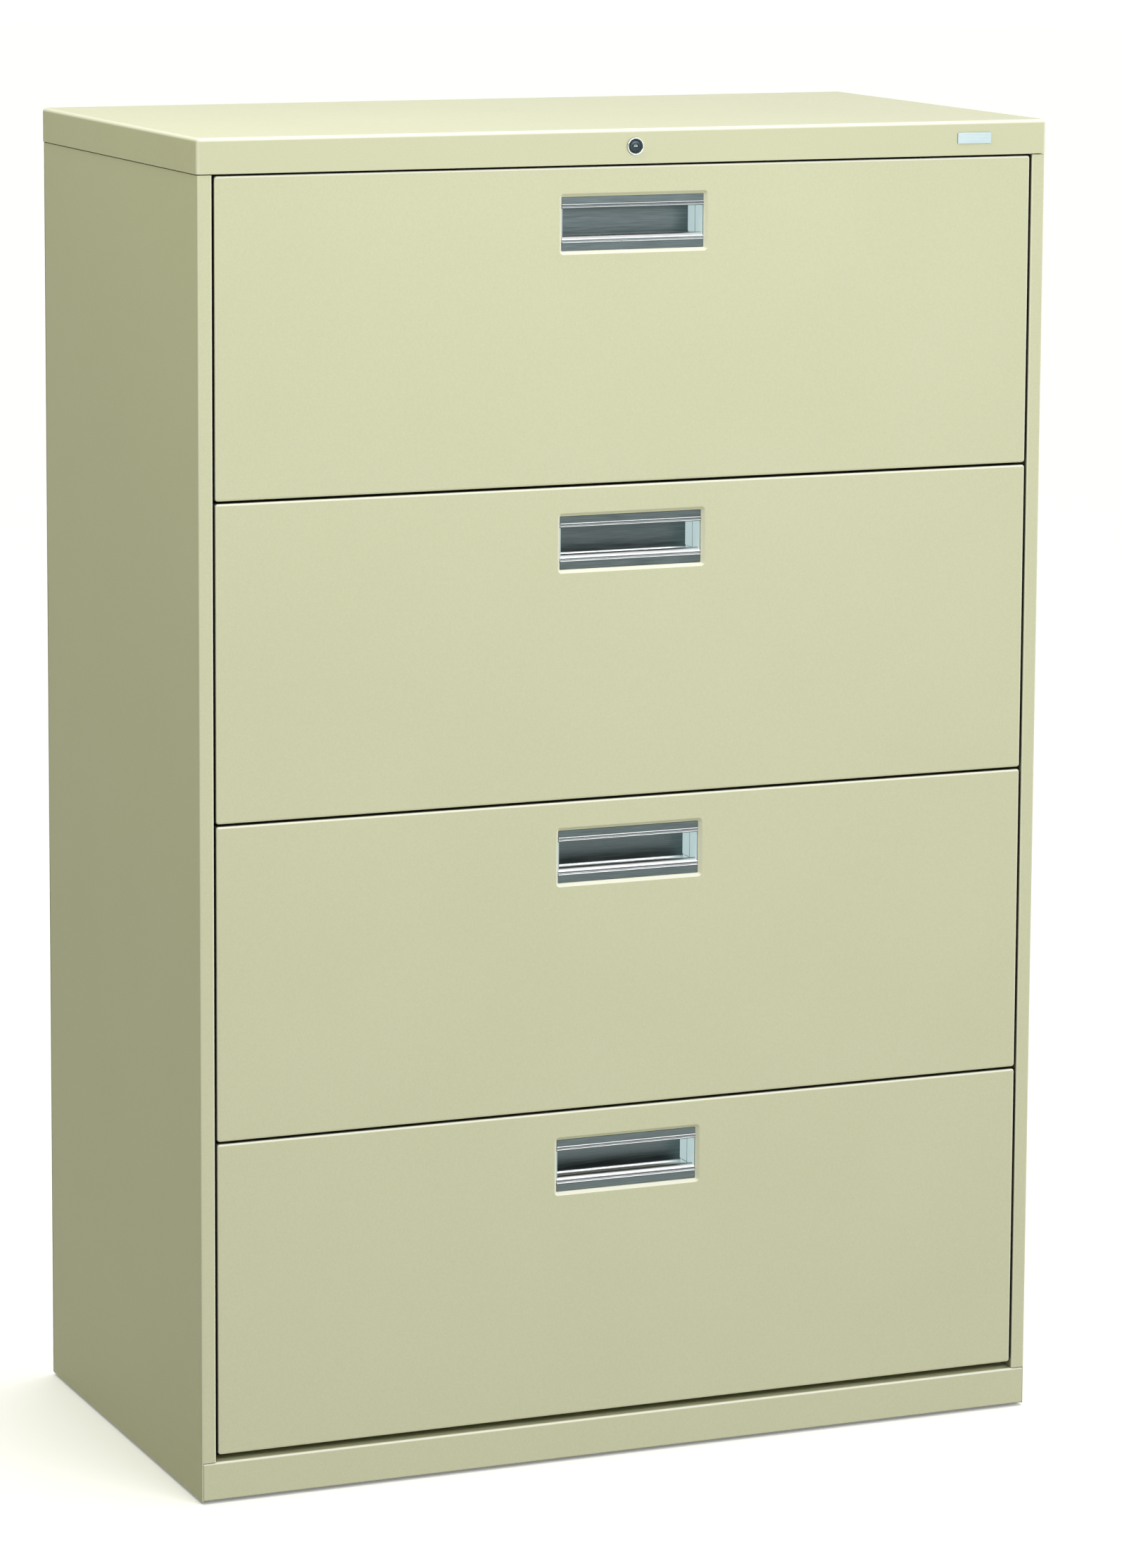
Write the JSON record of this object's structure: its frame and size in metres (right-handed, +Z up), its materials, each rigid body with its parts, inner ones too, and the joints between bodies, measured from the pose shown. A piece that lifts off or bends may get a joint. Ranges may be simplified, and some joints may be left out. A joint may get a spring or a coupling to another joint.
{
  "type": "filing cabinet",
  "caption": "Metal filing cabinet with wide sliding drawers, recessed bar pulls, telescoping slides, hanging-folder rails and a key lock in the top",
  "frame": {"origin": "on the floor under the middle of the case", "axes": "+Z up; -Y is the side the drawers open to; +X is to the right of someone facing the drawers"},
  "size_m": [0.9144, 0.4913, 1.3526],
  "materials": {
    "case_paint": "satin putty powder coat with a fine orange-peel texture",
    "drawer_paint": "satin putty powder coat with a fine orange-peel texture",
    "pull_metal": "brushed grey anodised extrusion with bright ribs",
    "zinc_steel": "bright zinc-plated steel",
    "lock_chrome": "polished chrome",
    "lock_metal": "dark nickel-plated lock plug",
    "plate_metal": "satin silver-blue plate, blank",
    "glide_plastic": "black nylon"
  },
  "bodies": {
    "cabinet": {"left_side_panel": "case_paint", "right_side_panel": "case_paint", "back_panel": "case_paint", "top_cap": "case_paint", "header_rail": "case_paint", "base_rail": "case_paint", "bottom_pan": "zinc_steel", "glide_front_left": "glide_plastic", "glide_front_right": "glide_plastic", "glide_rear_left": "glide_plastic", "glide_rear_right": "glide_plastic", "name_plate": "plate_metal", "lock_housing": "lock_chrome", "drawer_1_case_slide_left": "zinc_steel", "drawer_1_case_slide_right": "zinc_steel", "drawer_2_case_slide_left": "zinc_steel", "drawer_2_case_slide_right": "zinc_steel", "drawer_3_case_slide_left": "zinc_steel", "drawer_3_case_slide_right": "zinc_steel", "drawer_4_case_slide_left": "zinc_steel", "drawer_4_case_slide_right": "zinc_steel"},
    "lock_plug": {"lock_plug": "lock_metal", "lock_cam": "zinc_steel"},
    "lock_bar": {"lock_bar": "zinc_steel"},
    "drawer_1": {"drawer_1_front": "drawer_paint", "drawer_1_pull": "pull_metal", "drawer_1_box": "case_paint", "drawer_1_front_hang_rail": "zinc_steel", "drawer_1_rear_hang_rail": "zinc_steel", "drawer_1_drawer_slide_left": "zinc_steel", "drawer_1_drawer_slide_right": "zinc_steel"},
    "drawer_1_runners": {"drawer_1_middle_slide_left": "zinc_steel", "drawer_1_middle_slide_right": "zinc_steel"},
    "drawer_2": {"drawer_2_front": "drawer_paint", "drawer_2_pull": "pull_metal", "drawer_2_box": "case_paint", "drawer_2_front_hang_rail": "zinc_steel", "drawer_2_rear_hang_rail": "zinc_steel", "drawer_2_drawer_slide_left": "zinc_steel", "drawer_2_drawer_slide_right": "zinc_steel"},
    "drawer_2_runners": {"drawer_2_middle_slide_left": "zinc_steel", "drawer_2_middle_slide_right": "zinc_steel"},
    "drawer_3": {"drawer_3_front": "drawer_paint", "drawer_3_pull": "pull_metal", "drawer_3_box": "case_paint", "drawer_3_front_hang_rail": "zinc_steel", "drawer_3_rear_hang_rail": "zinc_steel", "drawer_3_drawer_slide_left": "zinc_steel", "drawer_3_drawer_slide_right": "zinc_steel"},
    "drawer_3_runners": {"drawer_3_middle_slide_left": "zinc_steel", "drawer_3_middle_slide_right": "zinc_steel"},
    "drawer_4": {"drawer_4_front": "drawer_paint", "drawer_4_pull": "pull_metal", "drawer_4_box": "case_paint", "drawer_4_front_hang_rail": "zinc_steel", "drawer_4_rear_hang_rail": "zinc_steel", "drawer_4_drawer_slide_left": "zinc_steel", "drawer_4_drawer_slide_right": "zinc_steel"},
    "drawer_4_runners": {"drawer_4_middle_slide_left": "zinc_steel", "drawer_4_middle_slide_right": "zinc_steel"}
  },
  "joints": [
    {"name": "drawer_1_slide", "type": "slide", "parent": "cabinet", "child": "drawer_1", "axis": [0, -1, 0], "range_m": [0, 0.4]},
    {"name": "drawer_1_runners_slide", "type": "slide", "parent": "cabinet", "child": "drawer_1_runners", "axis": [0, -1, 0], "range_m": [0, 0.2]},
    {"name": "drawer_2_slide", "type": "slide", "parent": "cabinet", "child": "drawer_2", "axis": [0, -1, 0], "range_m": [0, 0.4]},
    {"name": "drawer_2_runners_slide", "type": "slide", "parent": "cabinet", "child": "drawer_2_runners", "axis": [0, -1, 0], "range_m": [0, 0.2]},
    {"name": "drawer_3_slide", "type": "slide", "parent": "cabinet", "child": "drawer_3", "axis": [0, -1, 0], "range_m": [0, 0.4]},
    {"name": "drawer_3_runners_slide", "type": "slide", "parent": "cabinet", "child": "drawer_3_runners", "axis": [0, -1, 0], "range_m": [0, 0.2]},
    {"name": "drawer_4_slide", "type": "slide", "parent": "cabinet", "child": "drawer_4", "axis": [0, -1, 0], "range_m": [0, 0.4]},
    {"name": "drawer_4_runners_slide", "type": "slide", "parent": "cabinet", "child": "drawer_4_runners", "axis": [0, -1, 0], "range_m": [0, 0.2]},
    {"name": "lock_bar_slide", "type": "slide", "parent": "cabinet", "child": "lock_bar", "axis": [1, 0, 0], "range_m": [0, 0.01273]},
    {"name": "lock_turn", "type": "hinge", "parent": "cabinet", "child": "lock_plug", "pos_m": [0, -0.2445, 1.3351], "axis": [0, -1, 0], "range_deg": [0, 90]}
  ],
  "couplings": [
    {"joint": "drawer_1_runners_slide", "follows": "drawer_1_slide", "ratio": 0.5},
    {"joint": "drawer_2_runners_slide", "follows": "drawer_2_slide", "ratio": 0.5},
    {"joint": "drawer_3_runners_slide", "follows": "drawer_3_slide", "ratio": 0.5},
    {"joint": "drawer_4_runners_slide", "follows": "drawer_4_slide", "ratio": 0.5},
    {"joint": "lock_turn", "follows": "lock_bar_slide", "rad_per_m": 123.41}
  ]
}
